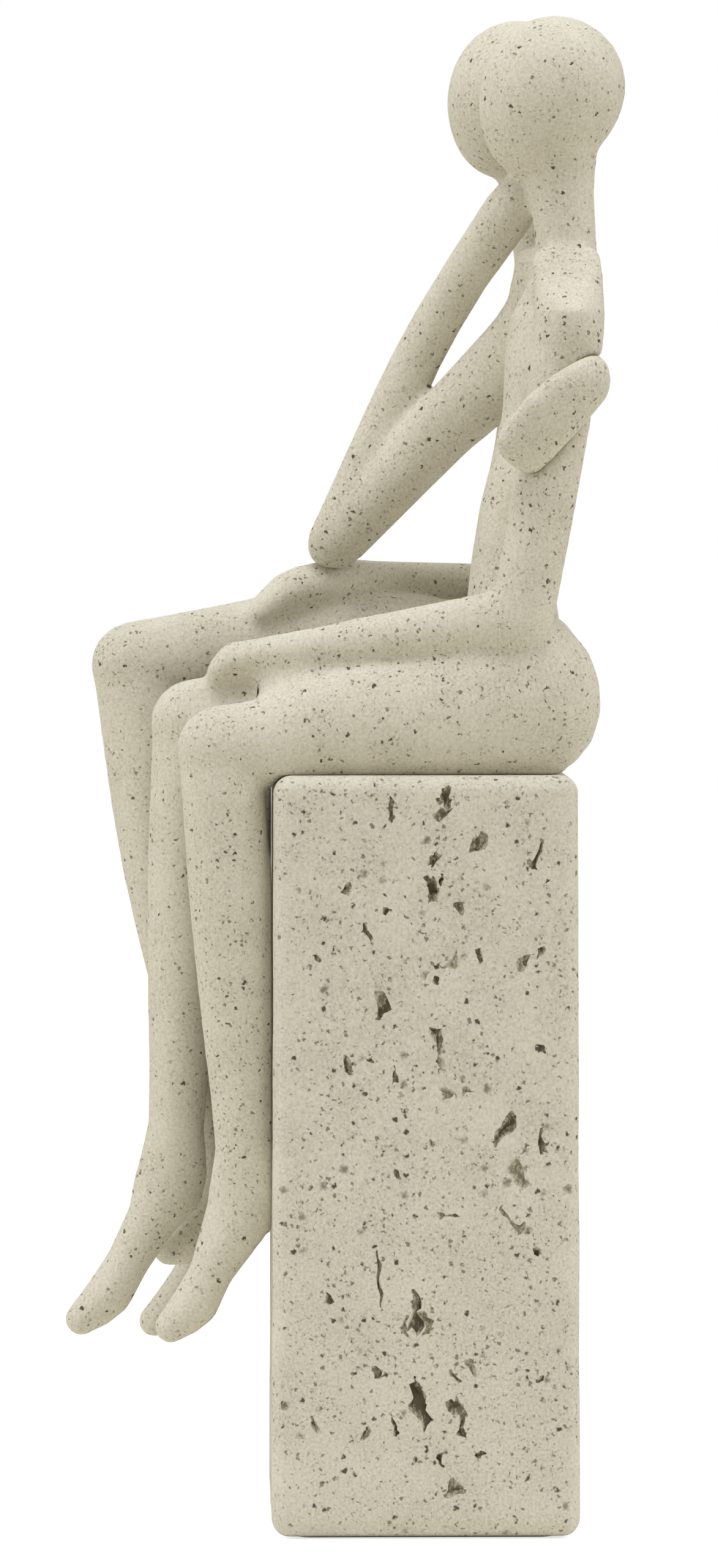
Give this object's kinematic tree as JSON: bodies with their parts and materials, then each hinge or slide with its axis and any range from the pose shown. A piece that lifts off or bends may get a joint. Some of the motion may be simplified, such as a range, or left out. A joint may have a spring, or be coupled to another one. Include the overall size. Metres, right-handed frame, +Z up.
{
  "type": "couple figurine",
  "caption": "Cast stone-look ornament: a slender faceless couple seated on a tall plinth, chin on hand and legs crossed, with an arm round the partner.",
  "frame": {"origin": "middle of the underside, on the face of the base felt that the figurine stands on", "axes": "+Z up along the plinth's height, -Y out of the plinth's front face, which the figures face, +X to the figures' left"},
  "size_m": [0.0779, 0.1114, 0.3011],
  "materials": {
    "plinth_cast": "matte cast stone, cream, with dark specks, pits and short cracks",
    "figure_cast": "matte cast stone, cream, smooth with fine dark specks",
    "felt": "dark grey pressed wool felt",
    "dowel_steel": "plain ground steel rod"
  },
  "bodies": {
    "root": {"base_felt": "felt", "plinth": "plinth_cast", "musing_figure_body": "figure_cast", "musing_figure_lap_arm": "figure_cast", "musing_figure_chin_arm": "figure_cast", "hugging_figure_body": "figure_cast", "hugging_figure_round_arm": "figure_cast", "hugging_figure_lap_arm": "figure_cast", "musing_seat_dowel_left": "dowel_steel", "musing_seat_dowel_right": "dowel_steel", "hugging_seat_dowel_left": "dowel_steel", "hugging_seat_dowel_right": "dowel_steel"}
  },
  "joints": []
}
